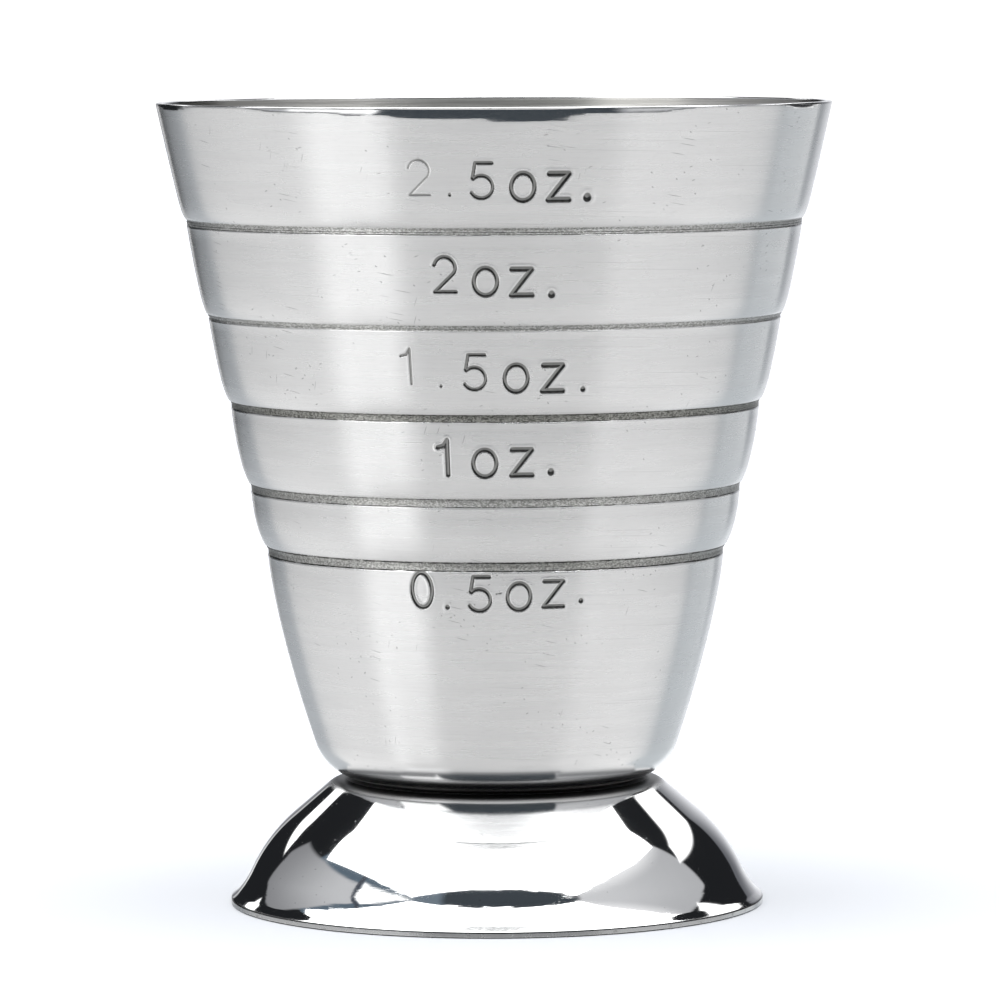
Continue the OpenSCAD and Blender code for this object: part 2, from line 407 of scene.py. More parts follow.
def stamp_depth(line, along, z):
    """How deep the wall is struck at points along and up it, how much burr stands there, and
    how much painted shade they get on a stroke's sides, more on its lower side."""
    depth = np.zeros_like(along)
    burr = np.zeros_like(along)
    side_shade = np.zeros_like(along)
    for s in line.struck:
        x = along - s.x
        y = z - line.z - s.rise
        near = np.full_like(along, 9.0)
        below = np.zeros_like(along)
        for path in GLYPHS[s.glyph]:
            scaled = [(px * FIGURE_H, py * FIGURE_H) for px, py in path]
            for a, b in zip(scaled, scaled[1:]):
                away, under = segment_offset(x, y, a, b)
                below = np.where(away < near, under / np.maximum(away, 1e-6), below)
                near = np.minimum(near, away)
        part = near / s.half
        depth = np.maximum(depth, s.depth * (1 - smooth(0.35, 1.05, part)))
        strength = min(1.0, s.depth / STAMP_FULL)
        lower_side_shade = np.clip(0.45 + 0.55 * below, 0.08, 1.0)
        side_shade = np.maximum(side_shade, strength * lower_side_shade * smooth(0.0, 0.5, part) * (1 - smooth(0.85, 1.2, part)))
        rise = smooth(1.0, 1.4, part) * (1 - smooth(1.4, 2.2, part))
        burr = np.maximum(burr, 0.25 * s.depth * rise)
    return depth, np.where(depth > 0.004, 0, burr), side_shade


# ---------------------------------------------------------------- revolved meshes

class Revolved:
    """A closed outline of rings turned round the axis, with finer cells where asked for."""

    def __init__(self, rows):
        self.rows = rows
        self.keys = {}
        self.points = []
        self.attributes = []
        self.faces = []
        self.looks = []

    def vertex(self, row, column):
        """The vertex at a row and a column, either of which may lie part of the way on."""
        j = int(row)
        part = row - j
        here = self.rows[j % len(self.rows)]
        if here.r == 0 and part == 0:
            column = 0
        key = (round(row, 5) % len(self.rows), round(column, 5) % COLUMNS)
        if key not in self.keys:
            ring = here
            if part > 0:
                after = self.rows[(j + 1) % len(self.rows)]
                ring = wall_row(here.z + (after.z - here.z) * part)
            theta = column * CELL
            self.keys[key] = len(self.points)
            self.points.append((ring.r * math.sin(theta), -ring.r * math.cos(theta), ring.z))
            self.attributes.append((ring.etch, ring.scribe, ring.pale))
        return self.keys[key]

    def add(self, corners, look):
        ring = []
        for corner in corners:
            if corner not in ring:
                ring.append(corner)
        self.faces.append(ring)
        self.looks.append(look)

    def build(self, patches):
        """Makes every cell. A patch is (first row, end row, first column, end column, cuts
        of a column, cuts of each of its rows)."""
        cuts = {}
        for j0, j1, i0, i1, across, down in patches:
            for j in range(j0, j1):
                for i in range(i0, i1):
                    cuts[(j, i % COLUMNS)] = (across, down[j - j0])
        for j in range(len(self.rows)):
            for i in range(COLUMNS):
                self.cell(j, i, cuts)

    def cell(self, j, i, cuts):
        if self.rows[j].r == 0 and self.rows[(j + 1) % len(self.rows)].r == 0:
            return
        look = self.rows[j].look
        if (j, i) in cuts:
            across, down = cuts[(j, i)]
            for b in range(down):
                for a in range(across):
                    left, right = i + a / across, i + (a + 1) / across
                    high, low = j + b / down, j + (b + 1) / down
                    self.add([self.vertex(high, left), self.vertex(low, left),
                              self.vertex(low, right), self.vertex(high, right)], look)
            return
        last = len(self.rows)
        left_cut = cuts.get((j, (i - 1) % COLUMNS), (1, 1))[1]
        right_cut = cuts.get((j, (i + 1) % COLUMNS), (1, 1))[1]
        above_cut = cuts.get(((j - 1) % last, i), (1, 1))[0]
        below_cut = cuts.get(((j + 1) % last, i), (1, 1))[0]
        ring = [self.vertex(j + b / left_cut, i) for b in range(left_cut)]
        ring += [self.vertex(j + 1, i + a / below_cut) for a in range(below_cut)]
        ring += [self.vertex(j + 1 - b / right_cut, i + 1) for b in range(right_cut)]
        ring += [self.vertex(j, i + 1 - a / above_cut) for a in range(above_cut)]
        self.add(ring, look)


def make_piece(name, turned, extra, materials):
    """A mesh object in metres from a revolved shape, with its attributes and its materials."""
    mesh = bpy.data.meshes.new(name)
    mesh.from_pydata([tuple(p) for p in np.asarray(turned.points) * MM], [], turned.faces)
    mesh.polygons.foreach_set("material_index", turned.looks)
    mesh.polygons.foreach_set("use_smooth", [True] * len(turned.faces))
    values = dict(extra)
    values["etch"] = [a[0] for a in turned.attributes]
    values["scribe"] = [a[1] for a in turned.attributes]
    values["pale"] = [a[2] for a in turned.attributes]
    for key, numbers in values.items():
        layer = mesh.attributes.new(key, "FLOAT", "POINT")
        layer.data.foreach_set("value", np.asarray(numbers, np.float32))
    for material in materials:
        mesh.materials.append(material)
    mesh.update()
    piece = bpy.data.objects.new(name, mesh)
    bpy.context.scene.collection.objects.link(piece)
    return piece


def point_looks(turned):
    """The look of a face at each point of a revolved mesh."""
    looks = [INSIDE] * len(turned.points)
    for face, look in zip(turned.faces, turned.looks):
        for point in face:
            looks[point] = min(looks[point], look)
    return looks


def weld_centres():
    """The middle of each weld nugget, seen from above, read from the CAD node."""
    points = np.array([v.co[:2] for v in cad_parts["spot_welds"].data.vertices]) / MM
    centres = []
    for sx in (-1, 1):
        for sy in (-1, 1):
            mine = points[(points[:, 0] * sx > 0) & (points[:, 1] * sy > 0)]
            centres.append((mine.min(0) + mine.max(0)) / 2)
    return centres


def press_welds(points, level, sign, depth=0.05, radius=1.9):
    """Presses the electrodes' shallow dimples into a sheet's face at that level."""
    flat = np.abs(points[:, 2] - level) < 0.01
    for cx, cy in weld_centres():
        near = np.hypot(points[:, 0] - cx, points[:, 1] - cy)
        dip = depth * (1 - smooth(0.55 * radius, radius, near))
        points[:, 2] += np.where(flat, sign * dip, 0)
    return points


def buff_reach(theta):
    """How far down the wall the rim's outer edge is buffed at angles round the axis."""
    reach = np.zeros_like(theta)
    for buff in BUFFS:
        off = np.abs(np.degrees(theta) - buff.middle) / buff.half
        reach = np.maximum(reach, buff.reach * (1 - smooth(0.35, 1.0, off)))
    ragged = 0.05 * np.sin(41 * theta) + 0.035 * np.sin(67 * theta + 1) + 0.03 * np.sin(113 * theta)
    return reach * (1 + ragged)


def buff_rim(points):
    """Leans the buffed stretches of the rim's outer edge inwards, and returns where they are."""
    r = np.hypot(points[:, 0], points[:, 1])
    theta = np.arctan2(points[:, 0], -points[:, 1])
    reach = buff_reach(theta)
    top = BANDS[0].top_z
    up = np.clip((points[:, 2] - (top - reach)) / np.maximum(reach, 0.01), 0, 1)
    over = smooth(top, TOTAL_H, points[:, 2])
    outside = (r > RIM_R - WALL_W / 2 - 0.3 + 0.23 * (points[:, 2] - top)) & (reach > 0.02)
    inset = reach * (BUFF_KINK * up + BUFF_BOW * up * up) * (1 - 0.45 * over)
    inset = np.where(outside, inset, 0)
    points[:, :2] *= (1 - inset / np.maximum(r, 1.0))[:, None]
    return np.where(outside, smooth(0.0, 0.12, up), 0)


def stamp_patches(rows):
    """For each graduation, the block of cells that its figures need, cut finely."""
    patches = []
    heights = [row.z for row in rows]
    for line in LINES:
        low, high = line_limits(line)
        j0 = min(range(len(rows)), key=lambda j: abs(heights[j] - high))
        j1 = min(range(len(rows)), key=lambda j: abs(heights[j] - low))
        radius = rows[j1].r
        left = min(s.x for s in line.struck) - STAMP_MARGIN
        right = max(s.x for s in line.struck) + FIGURE_H * 0.7
        i0 = math.floor(left / radius / CELL)
        i1 = math.ceil(right / radius / CELL)
        across = math.ceil(radius * CELL / STAMP_GRID)
        down = [max(1, math.ceil((heights[j] - heights[j + 1]) / STAMP_GRID)) for j in range(j0, j1)]
        patches.append((j0, j1, i0, i1, across, down))
    return patches


def strike_figures(points):
    """Pushes the stamped figures into the wall, and returns how deeply each point is struck
    and how much painted shade it gets on a stroke's sides."""
    struck = np.zeros(len(points))
    side_shades = np.zeros(len(points))
    r = np.hypot(points[:, 0], points[:, 1])
    theta = np.arctan2(points[:, 0], -points[:, 1])
    outer = np.array([plain_radius(z) if CORNER_TOP[1] < z < BANDS[0].top_z else 0.0
                      for z in points[:, 2]])
    outside = (r > outer - 0.2) & (outer > 0)
    normal = np.stack([np.sin(theta) * math.cos(WALL_LEAN), -np.cos(theta) * math.cos(WALL_LEAN),
                       np.full(len(points), -math.sin(WALL_LEAN))], 1)
    for line in LINES:
        low, high = line_limits(line)
        near = outside & (points[:, 2] > low) & (points[:, 2] < high) & (np.abs(theta) < 0.6)
        at = np.where(near)[0]
        middle = plain_radius(line.z + FIGURE_H / 2)
        depth, burr, side_shade = stamp_depth(line, theta[at] * middle, points[at, 2])
        points[at] += normal[at] * (burr - depth)[:, None]
        struck[at] = np.minimum(depth / STAMP_FULL, 1)
        side_shades[at] = side_shade
    return struck, side_shades


# ---------------------------------------------------------------- material building

def grey(level):
    return level, level, level, 1


class Graph:
    """Short ways to add nodes to a material's or a world's tree."""

    def __init__(self, tree):
        self.tree = tree
        tree.nodes.clear()

    def node(self, kind, **settings):
        made = self.tree.nodes.new("ShaderNode" + kind)
        for key, value in settings.items():
            setattr(made, key, value)
        return made

    def feed(self, socket, value):
        """Links a socket to another one, or sets its constant."""
        if isinstance(value, bpy.types.NodeSocket):
            self.tree.links.new(value, socket)
        else:
            socket.default_value = value

    def math(self, operation, *values):
        made = self.node("Math", operation=operation)
        for socket, value in zip(made.inputs, values):
            self.feed(socket, value)
        return made.outputs[0]

    def times(self, a, b):
        return self.math("MULTIPLY", a, b)

    def vector(self, operation, *values):
        made = self.node("VectorMath", operation=operation)
        for socket, value in zip(made.inputs, values):
            self.feed(socket, value)
        return made.outputs["Value" if operation in ("DOT_PRODUCT", "LENGTH") else "Vector"]

    def ramp(self, value, low, high, to_low=0.0, to_high=1.0):
        """A smooth step from to_low to to_high as the value goes from low to high."""
        made = self.node("MapRange", interpolation_type="SMOOTHSTEP")
        for name, number in (("Value", value), ("From Min", low), ("From Max", high),
                             ("To Min", to_low), ("To Max", to_high)):
            self.feed(made.inputs[name], number)
        return made.outputs["Result"]

    def mix(self, factor, a, b):
        """A colour between a and b."""
        made = self.node("Mix", data_type="RGBA")
        self.feed(made.inputs[0], factor)
        self.feed(made.inputs[6], a)
        self.feed(made.inputs[7], b)
        return made.outputs[2]

    def blend(self, factor, a, b):
        """A number between a and b."""
        made = self.node("Mix", data_type="FLOAT")
        self.feed(made.inputs[0], factor)
        self.feed(made.inputs[2], a)
        self.feed(made.inputs[3], b)
        return made.outputs[0]

    def scaled(self, vector, scale):
        made = self.node("Mapping")
        self.feed(made.inputs["Vector"], vector)
        made.inputs["Scale"].default_value = scale
        return made.outputs["Vector"]

    def turned(self, vector, degrees):
        made = self.node("Mapping")
        self.feed(made.inputs["Vector"], vector)
        made.inputs["Rotation"].default_value = (0, 0, math.radians(degrees))
        return made.outputs["Vector"]

    def noise(self, vector, scale, detail=2.0, roughness=0.5):
        made = self.node("TexNoise")
        self.feed(made.inputs["Vector"], vector)
        made.inputs["Scale"].default_value = scale
        made.inputs["Detail"].default_value = detail
        made.inputs["Roughness"].default_value = roughness
        return made.outputs["Fac"]

    def attribute(self, name):
        return self.node("Attribute", attribute_name=name).outputs["Fac"]

    def object_mm(self):
        """The object's own coordinates, in millimetres."""
        return self.scaled(self.node("TexCoord").outputs["Object"], (1 / MM,) * 3)

    def height(self, mm):
        """How high a point in millimetres lies."""
        parts = self.node("SeparateXYZ")
        self.feed(parts.inputs[0], mm)
        return parts.outputs[2]

    def unrolled_mm(self, radius):
        """Millimetres round the axis and up it, on a wall of about that radius."""
        parts = self.node("SeparateXYZ")
        self.feed(parts.inputs[0], self.object_mm())
        back = self.times(parts.outputs[1], -1.0)
        around = self.times(self.math("ARCTAN2", parts.outputs[0], back), radius)
        joined = self.node("CombineXYZ")
        self.feed(joined.inputs[0], around)
        self.feed(joined.inputs[1], parts.outputs[2])
        return joined.outputs[0]

    def ticks(self, flat, angle, length, width, cell, share):
        """Short random scratches: one in a share of the cells, of that length and width."""
        turned = self.turned(flat, angle)
        cells = self.node("TexVoronoi", voronoi_dimensions="2D", feature="F1")
        stretch = length / width
        self.feed(cells.inputs["Vector"], self.scaled(turned, (1 / (cell * stretch ** 0.5),
                                                               stretch ** 0.5 / cell, 1)))
        cells.inputs["Scale"].default_value = 1.0
        reach = width * stretch ** 0.5 / cell
        mark = self.ramp(cells.outputs["Distance"], 0.5 * reach, reach, 1.0, 0.0)
        colour = self.node("SeparateColor")
        self.feed(colour.inputs[0], cells.outputs["Color"])
        return self.times(mark, self.math("LESS_THAN", colour.outputs[0], share))

    def bump(self, height, depth_mm, normal=None):
        made = self.node("Bump")
        made.inputs["Strength"].default_value = 1.0
        made.inputs["Distance"].default_value = depth_mm * MM
        self.feed(made.inputs["Height"], height)
        if normal is not None:
            self.feed(made.inputs["Normal"], normal)
        return made.outputs["Normal"]

    def steel(self, colour, roughness, normal, anisotropic=0.0):
        """The metal shader and the output. With brushing round the axis, light spreads
        across the brushing, which is up and down the wall."""
        shader = self.node("BsdfPrincipled")
        shader.inputs["Metallic"].default_value = 1.0
        self.feed(shader.inputs["Base Color"], colour)
        self.feed(shader.inputs["Roughness"], roughness)
        self.feed(shader.inputs["Normal"], normal)
        if anisotropic:
            tangent = self.node("Tangent", direction_type="RADIAL", axis="Z")
            shader.inputs["Anisotropic"].default_value = anisotropic
            shader.inputs["Anisotropic Rotation"].default_value = 0.25
            self.feed(shader.inputs["Tangent"], tangent.outputs[0])
        out = self.node("OutputMaterial")
        self.feed(out.inputs["Surface"], shader.outputs[0])
        return shader


def new_material(name):
    material = bpy.data.materials.new(name)
    material.use_nodes = True
    return material, Graph(material.node_tree)


def satin_outside():
    """Brushed steel outside the cup, with its etched lines, stamped figures and buffed rim,
    painted shade on the stamped strokes' sides, and near-black painted shade at its seam on the foot.
    """
    material, g = new_material("satin_steel_outside")
    mm = g.object_mm()
    flat = g.unrolled_mm(22.0)
    fine = g.noise(g.scaled(mm, (0.25, 0.25, 9.0)), 1.0, 3.0, 0.6)
    broad = g.noise(g.scaled(mm, (0.10, 0.10, 1.4)), 1.0, 3.0, 0.55)
    grit = g.noise(g.scaled(mm, (1.4, 1.4, 6.0)), 1.0, 4.0, 0.7)
    cloud = g.noise(mm, 0.22, 3.0, 0.5)
    worn = g.ramp(g.noise(mm, 0.16, 2.0, 0.5), 0.5, 0.62)
    ticks = g.math("MAXIMUM", g.ticks(flat, 11, 0.8, 0.035, 1.9, 0.24),
                   g.ticks(flat, -72, 0.5, 0.035, 2.4, 0.20))
    pits = g.math("MAXIMUM", g.ticks(flat, 40, 0.12, 0.07, 0.75, 0.13),
                  g.ticks(flat, -20, 0.18, 0.06, 1.3, 0.18))
    marks = g.times(g.math("MAXIMUM", ticks, pits), worn)
    long_ticks = g.ticks(flat, 2, 5.0, 0.03, 4.6, 0.30)
    marks = g.math("MAXIMUM", marks, g.times(long_ticks, 0.3))

    edge_noise = g.noise(g.scaled(mm, (1.6, 1.6, 4.0)), 1.0, 4.0, 0.7)
    speckle = g.noise(g.scaled(mm, (5.0, 5.0, 9.0)), 1.0, 3.0, 0.8)
    patch = g.noise(mm, 0.12, 3.0, 0.6)
    wavy = g.math("ADD", g.attribute("etch"), g.blend(edge_noise, -0.35, 0.35))
    etched = g.ramp(wavy, 0.35, 0.65)
    broken = g.noise(g.scaled(mm, (0.9, 0.9, 5.0)), 1.0, 5.0, 0.8)
    scribed = g.times(g.attribute("scribe"), g.ramp(broken, 0.36, 0.56, 0.35, 1.5))
    scribed = g.ramp(scribed, 0.08, 0.7)
    pale = g.math("ADD", g.attribute("pale"), g.blend(patch, -0.35, 0.45))
    stamped = g.ramp(g.attribute("stamp"), 0.05, 0.55)
    side_shade = g.ramp(g.attribute("stamp_side_shade"), 0.10, 0.60)
    grime_and_shade_patches = g.noise(mm, 4.0, 4.0, 0.7)

    clean = g.mix(cloud, grey(0.82), grey(0.88))
    clean = g.mix(g.times(g.ramp(fine, 0.35, 0.75), 0.10), clean, grey(0.55))
    clean = g.mix(g.times(g.ramp(grit, 0.5, 0.75), 0.12), clean, grey(0.5))
    clean = g.mix(g.times(marks, 0.6), clean, grey(0.30))
    matt_dark = g.mix(g.ramp(speckle, 0.42, 0.58), (0.14, 0.14, 0.125, 1), (0.58, 0.58, 0.54, 1))
    matt_pale = g.mix(g.ramp(speckle, 0.42, 0.58), (0.50, 0.50, 0.48, 1), (0.96, 0.96, 0.95, 1))
    matt = g.mix(g.ramp(pale, 0.0, 1.0), matt_dark, matt_pale)
    colour = g.mix(etched, clean, matt)
    colour = g.mix(scribed, colour, (0.05, 0.05, 0.045, 1))
    colour = g.mix(g.times(stamped, g.blend(grime_and_shade_patches, 0.7, 1.0)), colour, (0.34, 0.34, 0.33, 1))
    # near-black painted shade on the stamped strokes' sides, made patchy
    colour = g.mix(g.times(side_shade, g.blend(grime_and_shade_patches, 0.75, 1.1)), colour, grey(0.015))
    # near-black painted shade in the crevice where the cup sits on the foot
    colour = g.mix(g.attribute("seam_shade_and_lip_burr"), colour, (0.025, 0.025, 0.026, 1))

    streak = g.noise(g.scaled(mm, (1.2, 1.2, 7.0)), 1.0, 4.0, 0.7)
    buffed = g.ramp(g.math("ADD", g.attribute("buffed"), g.blend(streak, -0.55, 0.55)), 0.4, 0.6)
    colour = g.mix(buffed, colour, (0.84, 0.845, 0.85, 1))
    rough = g.blend(broad, 0.24, 0.31)
    rough = g.blend(etched, rough, 0.5)
    rough = g.blend(stamped, rough, 0.40)
    rough = g.blend(g.attribute("polish"), rough, 0.11)
    rough = g.blend(g.attribute("seam_shade_and_lip_burr"), rough, 0.45)
    rough = g.blend(buffed, rough, g.blend(streak, 0.04, 0.16))

    normal = g.bump(fine, 0.0012)
    normal = g.bump(g.times(marks, -1.0), 0.002, normal)
    normal = g.bump(g.times(speckle, etched), 0.02, normal)
    normal = g.bump(g.times(streak, buffed), 0.004, normal)
    g.steel(colour, rough, normal, 1.0)
    return material


def satin_inside():
    """Brushed steel inside the cup, turned rather than rubbed, duller and streakier."""
    material, g = new_material("satin_steel_inside")
    mm = g.object_mm()
    radius = g.vector("LENGTH", g.scaled(mm, (1, 1, 0)))
    rings = g.node("CombineXYZ")
    g.feed(rings.inputs[0], g.times(radius, 7.0))
    g.feed(rings.inputs[1], g.times(g.height(mm), 7.0))
    fine = g.noise(rings.outputs[0], 1.0, 3.0, 0.6)
    cloud = g.noise(mm, 0.25, 3.0, 0.5)
    smear = g.noise(g.scaled(mm, (0.12, 0.12, 1.1)), 1.0, 4.0, 0.6)
    streak = g.noise(g.scaled(mm, (0.06, 0.06, 2.6)), 1.0, 3.0, 0.65)
    colour = g.mix(cloud, (0.50, 0.495, 0.475, 1), (0.60, 0.595, 0.575, 1))
    colour = g.mix(g.times(g.ramp(fine, 0.4, 0.8), 0.15), colour, (0.4, 0.4, 0.385, 1))
    colour = g.mix(g.times(g.ramp(streak, 0.42, 0.60), 0.5), colour, (0.24, 0.235, 0.22, 1))
    rough = g.blend(smear, 0.24, 0.36)
    g.steel(colour, rough, g.bump(fine, 0.0015), 0.8)
    return material


def polished_edge(name, rough_low, rough_high, tint, burr_and_shadow_z=()):
    """A trimmed sheet edge, buffed along its length, with near-black lines at those heights,
    which mark burrs and painted contact shadow.
    """
    material, g = new_material(name)
    mm = g.object_mm()
    fine = g.noise(g.scaled(mm, (0.5, 0.5, 16.0)), 1.0, 3.0, 0.6)
    nick = g.noise(mm, 1.3, 4.0, 0.7)
    colour = g.mix(g.ramp(nick, 0.55, 0.75), tint, tuple(0.6 * c for c in tint[:3]) + (1,))
    # near-black lines at the heights given: burrs, and painted contact shadow where an edge meets the floor
    for z in burr_and_shadow_z:
        away = g.math("ABSOLUTE", g.math("SUBTRACT", g.height(mm), z))
        away = g.math("ADD", away, g.blend(nick, -0.02, 0.03))
        colour = g.mix(g.ramp(away, 0.06, 0.10, 1.0, 0.0), colour, grey(0.03))
    rough = g.blend(nick, rough_low, rough_high)
    g.steel(colour, rough, g.bump(fine, 0.001), 0.5)
    return material


def mirror_outside():
    """Mirror-polished steel of the foot, with hairline scratches, specks and faint waviness,
    near-black painted shade at the seam under the cup, and a dark burr line round the lip's top.
    """
    material, g = new_material("mirror_steel_outside")
    mm = g.object_mm()
    flat = g.unrolled_mm(18.0)
    haze = g.noise(mm, 0.35, 4.0, 0.6)
    wave = g.noise(mm, 0.16, 1.0, 0.4)
    hair = g.ticks(flat, 4, 2.2, 0.02, 4.4, 0.2)
    specks = g.math("MAXIMUM", g.ticks(flat, 25, 0.07, 0.05, 1.0, 0.16),
                    g.ticks(flat, -10, 0.13, 0.04, 2.1, 0.2))
    colour = g.mix(haze, (0.87, 0.875, 0.88, 1), (0.92, 0.922, 0.925, 1))
    colour = g.mix(g.times(specks, 0.5), colour, (0.25, 0.25, 0.26, 1))
    # near-black painted shade at the seam under the cup, and a dark burr line round the lip's top
    colour = g.mix(g.attribute("seam_shade_and_lip_burr"), colour, (0.025, 0.025, 0.026, 1))
    rough = g.blend(haze, 0.03, 0.06)
    rough = g.math("ADD", rough, g.times(specks, 0.12))
    rough = g.math("ADD", rough, g.times(hair, 0.03))
    rough = g.math("ADD", rough, g.times(g.attribute("seam_shade_and_lip_burr"), 0.3))
    lines = g.noise(g.scaled(mm, (0.6, 0.6, 6.0)), 1.0, 4.0, 0.65)
    patches = g.ramp(g.noise(g.scaled(mm, (0.3, 0.3, 0.8)), 1.0, 2.0, 0.5), 0.45, 0.7)
    drawn = g.times(g.ramp(g.height(mm), 2.5, 5.0, 1.0, 0.0), patches)
    normal = g.bump(wave, 0.010)
    normal = g.bump(g.times(lines, drawn), 0.006, normal)
    normal = g.bump(specks, 0.001, normal)
    g.steel(colour, rough, normal)
    return material


def drawn_underside():
    """The foot's unpolished underside: drawn sheet with rings left by the die."""
    material, g = new_material("drawn_steel_underside")
    mm = g.object_mm()
    radius = g.vector("LENGTH", g.scaled(mm, (1, 1, 0)))
    rings = g.node("CombineXYZ")
    g.feed(rings.inputs[0], g.times(radius, 3.0))
    fine = g.noise(rings.outputs[0], 1.0, 4.0, 0.65)
    grain = g.noise(mm, 6.0, 4.0, 0.7)
    cloud = g.noise(mm, 0.3, 3.0, 0.5)
    colour = g.mix(cloud, (0.50, 0.505, 0.51, 1), (0.66, 0.665, 0.67, 1))
    rough = g.blend(grain, 0.34, 0.55)
    normal = g.bump(grain, 0.004, g.bump(fine, 0.006))
    g.steel(colour, rough, normal)
    return material


def weld_metal():
    """Fused metal of the weld nuggets: dull, with a straw and blue heat tint."""
    material, g = new_material("weld_metal")
    mm = g.object_mm()
    grain = g.noise(mm, 5.0, 5.0, 0.7)
    tint = g.noise(mm, 0.9, 2.0, 0.5)
    colour = g.mix(g.ramp(tint, 0.35, 0.65), (0.40, 0.36, 0.30, 1), (0.36, 0.38, 0.43, 1))
    rough = g.blend(grain, 0.4, 0.65)
    g.steel(colour, rough, g.bump(grain, 0.02))
    return material


# ---------------------------------------------------------------- the pieces

def make_cup():
    limits = [z for line in LINES for z in line_limits(line)]
    turned = Revolved(cup_rows(limits))
    turned.build(stamp_patches(turned.rows))
    turned.points = np.array(turned.points)
    # the second value is painted shade on the strokes' sides
    stamp, stamp_side_shade = strike_figures(turned.points)
    buffed = buff_rim(turned.points)
    press_welds(turned.points, FOOT_H + SHEET_T, -1)
    outside = np.array([look == OUTSIDE for look in point_looks(turned)])
    up = np.where(outside, turned.points[:, 2] - FOOT_H, 9.0)
    # the last value is painted shade in the crevice where the cup sits on the foot
    values = {"stamp": stamp, "stamp_side_shade": stamp_side_shade, "buffed": buffed,
              "polish": 1 - smooth(*POLISH_H, up), "seam_shade_and_lip_burr": 1 - smooth(*SEAM_SHADE_UP, up)}
    rim = polished_edge("cup_rim_edge", 0.10, 0.22, (0.84, 0.845, 0.85, 1))
    cup = make_piece("cup_shell", turned, values, [satin_outside(), rim, satin_inside()])
    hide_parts("cup")
    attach(cup, "root")
    return cup


def make_foot():
    turned = Revolved(foot_rows())
    turned.build([])
    turned.points = np.array(turned.points)
    # the stored mask: painted shade where the cup sits on the foot, and a dark burr line round the lip's
    # top
    down = FOOT_H - turned.points[:, 2]
    lip = 1 - smooth(0.03, 0.07, np.abs(turned.points[:, 2] - LIP_H))
    values = {"seam_shade_and_lip_burr": np.maximum(1 - smooth(*SEAM_SHADE_DOWN, down), lip)}
    press_welds(turned.points, FOOT_H - SHEET_T, 1)
    # the dark line at the lip's top is a burr; the one at its foot is painted contact shadow where the lip
    # meets the floor
    lip = polished_edge("foot_lip_edge", 0.18, 0.34, (0.66, 0.665, 0.67, 1), (LIP_H, 0.0))
    foot = make_piece("foot_shell", turned, values, [mirror_outside(), lip, drawn_underside()])
    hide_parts("foot")
    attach(foot, "root")
    return foot


def finish_welds():
    """The weld nuggets stay as the CAD has them, in fused metal."""
    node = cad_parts["spot_welds"]
    node.data.materials.clear()
    node.data.materials.append(weld_metal())


# ---------------------------------------------------------------- studio

# What stands round the object, as the steel sees it. A card is a convex patch of the sky:
# its corners are pairs of azimuth and elevation in degrees, azimuth 0 being the camera's
# side and 90 its right, then comes the softness of its edge and its colour. Some cards
# change to an end colour over a span of azimuth. Later cards stand in front of earlier ones.
Card = namedtuple("Card", "corners soft colour end span", defaults=(None, None))


def block(left, right, low, high):
    """The corners of a card with level and upright edges."""
    return (left, low), (right, low), (right, high), (left, high)


